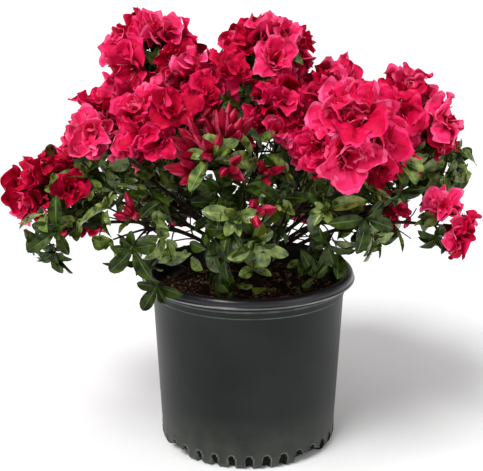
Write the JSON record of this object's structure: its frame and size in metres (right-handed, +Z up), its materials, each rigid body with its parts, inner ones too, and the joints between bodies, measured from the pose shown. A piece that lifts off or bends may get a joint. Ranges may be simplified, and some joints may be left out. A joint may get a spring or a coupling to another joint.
{
  "type": "potted azalea shrub",
  "caption": "Rounded evergreen azalea shrub with double crimson blossoms, pointed buds and leafy twigs, growing in a round plastic nursery pot filled with bark mix.",
  "frame": {"origin": "centre of the pot's flat underside, on the ground it stands on", "axes": "+Z up along the pot's axis; -Y is the plant's front and +X its right as seen from the front"},
  "size_m": [0.4891, 0.4272, 0.4563],
  "materials": {
    "pot_plastic": "dark green-grey moulded plastic, satin, with a glossier rim",
    "potting_mix": "moist bark chips and peat",
    "bark": "thin, finely ridged grey-brown bark",
    "blossom_spray": "soft, ruffled crimson petals over glossy dark green leaves",
    "leaf_spray": "glossy dark green leaves with paler midribs, young ones yellow-green"
  },
  "bodies": {
    "root": {"pot": "pot_plastic", "potting_mix": "potting_mix", "trunk": "bark", "bough_top_right": "bark", "bough_top_back": "bark", "bough_upper_middle": "bark", "bough_top_left": "bark", "bough_upper_right": "bark", "bough_middle_right": "bark", "bough_front_left": "bark", "bough_back_middle": "bark", "bough_front_middle": "bark", "bough_upper_left": "bark", "bough_right": "bark", "bough_centre": "bark", "bough_back_right": "bark", "bough_back_left": "bark", "bough_front_right": "bark", "bough_right_shoulder": "bark", "bough_right_flank": "bark", "bough_low_front": "bark", "bough_low_front_right": "bark", "bough_far_left": "bark", "bough_low_back_right": "bark", "bough_low_back_left": "bark", "bough_low_front_left": "bark", "bough_left_flank": "bark", "bough_far_right": "bark", "bough_low_left": "bark", "bough_low_right": "bark", "spray_top_right": "blossom_spray", "spray_top_back": "blossom_spray", "spray_upper_middle": "blossom_spray", "spray_top_left": "blossom_spray", "spray_upper_right": "blossom_spray", "spray_middle_right": "blossom_spray", "spray_front_left": "blossom_spray", "spray_back_middle": "blossom_spray", "spray_front_middle": "blossom_spray", "spray_upper_left": "blossom_spray", "spray_right": "blossom_spray", "spray_centre": "leaf_spray", "spray_back_right": "blossom_spray", "spray_back_left": "blossom_spray", "spray_front_right": "blossom_spray", "spray_right_shoulder": "blossom_spray", "spray_right_flank": "blossom_spray", "spray_low_front": "leaf_spray", "spray_low_front_right": "leaf_spray", "spray_far_left": "blossom_spray", "spray_low_back_right": "blossom_spray", "spray_low_back_left": "blossom_spray", "spray_low_front_left": "leaf_spray", "spray_left_flank": "blossom_spray", "spray_far_right": "blossom_spray", "spray_low_left": "leaf_spray", "spray_low_right": "leaf_spray", "spray_shoot_left": "leaf_spray", "spray_shoot_front": "leaf_spray", "spray_shoot_right": "leaf_spray"}
  },
  "joints": []
}
